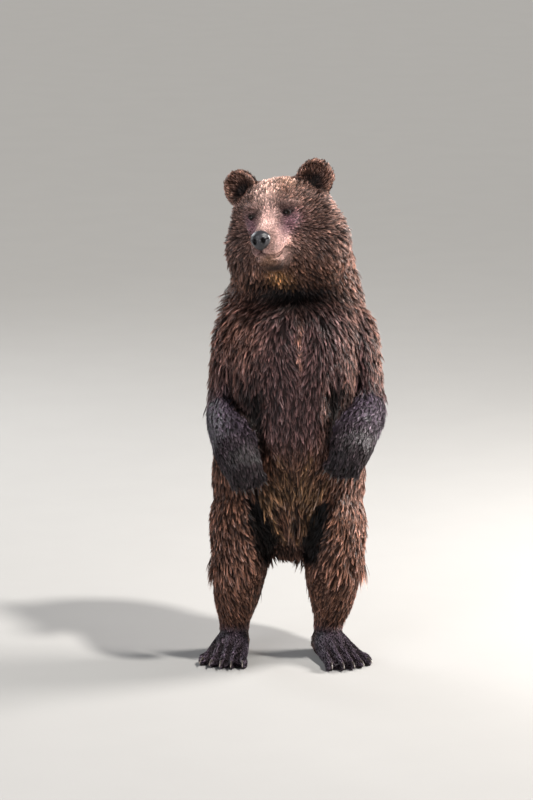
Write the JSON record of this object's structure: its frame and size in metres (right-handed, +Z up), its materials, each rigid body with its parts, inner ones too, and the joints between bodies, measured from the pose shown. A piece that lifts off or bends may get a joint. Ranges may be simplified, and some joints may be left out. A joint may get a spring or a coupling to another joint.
{
  "type": "standing brown bear model",
  "caption": "Life-size still model of a brown bear standing upright on its hind legs, forepaws hanging in front, head turned to its right.",
  "frame": {"origin": "on the floor under the middle of the bear's box, between the hind feet", "axes": "+Z up along the standing bear; the bear faces -Y; +X is the bear's left"},
  "size_m": [0.719, 0.7002, 1.95],
  "materials": {
    "brown_fur": "long wet brown coat in pointed locks",
    "black_fur": "short sleek blackish coat on forearms, paws and feet",
    "muzzle_fur": "very short tan coat of the muzzle and chin",
    "claw": "grey-brown horn",
    "nose_leather": "moist black pebbled nose leather",
    "eye": "glossy dark brown eye"
  },
  "bodies": {
    "root": {"belly": "brown_fur", "chest": "brown_fur", "head": "brown_fur", "hindquarters": "brown_fur", "left_ear": "brown_fur", "left_eye": "eye", "left_fore_claw_1": "claw", "left_fore_claw_2": "claw", "left_fore_claw_3": "claw", "left_fore_claw_4": "claw", "left_fore_claw_5": "claw", "left_forearm": "black_fur", "left_forepaw": "black_fur", "left_hind_claw_1": "claw", "left_hind_claw_2": "claw", "left_hind_claw_3": "claw", "left_hind_claw_4": "claw", "left_hind_claw_5": "claw", "left_hind_foot": "black_fur", "left_shank": "brown_fur", "left_thigh": "brown_fur", "left_upper_arm": "brown_fur", "lower_jaw": "muzzle_fur", "neck": "brown_fur", "nose": "nose_leather", "right_ear": "brown_fur", "right_eye": "eye", "right_fore_claw_1": "claw", "right_fore_claw_2": "claw", "right_fore_claw_3": "claw", "right_fore_claw_4": "claw", "right_fore_claw_5": "claw", "right_forearm": "black_fur", "right_forepaw": "black_fur", "right_hind_claw_1": "claw", "right_hind_claw_2": "claw", "right_hind_claw_3": "claw", "right_hind_claw_4": "claw", "right_hind_claw_5": "claw", "right_hind_foot": "black_fur", "right_shank": "brown_fur", "right_thigh": "brown_fur", "right_upper_arm": "brown_fur", "tail": "brown_fur"}
  },
  "joints": []
}
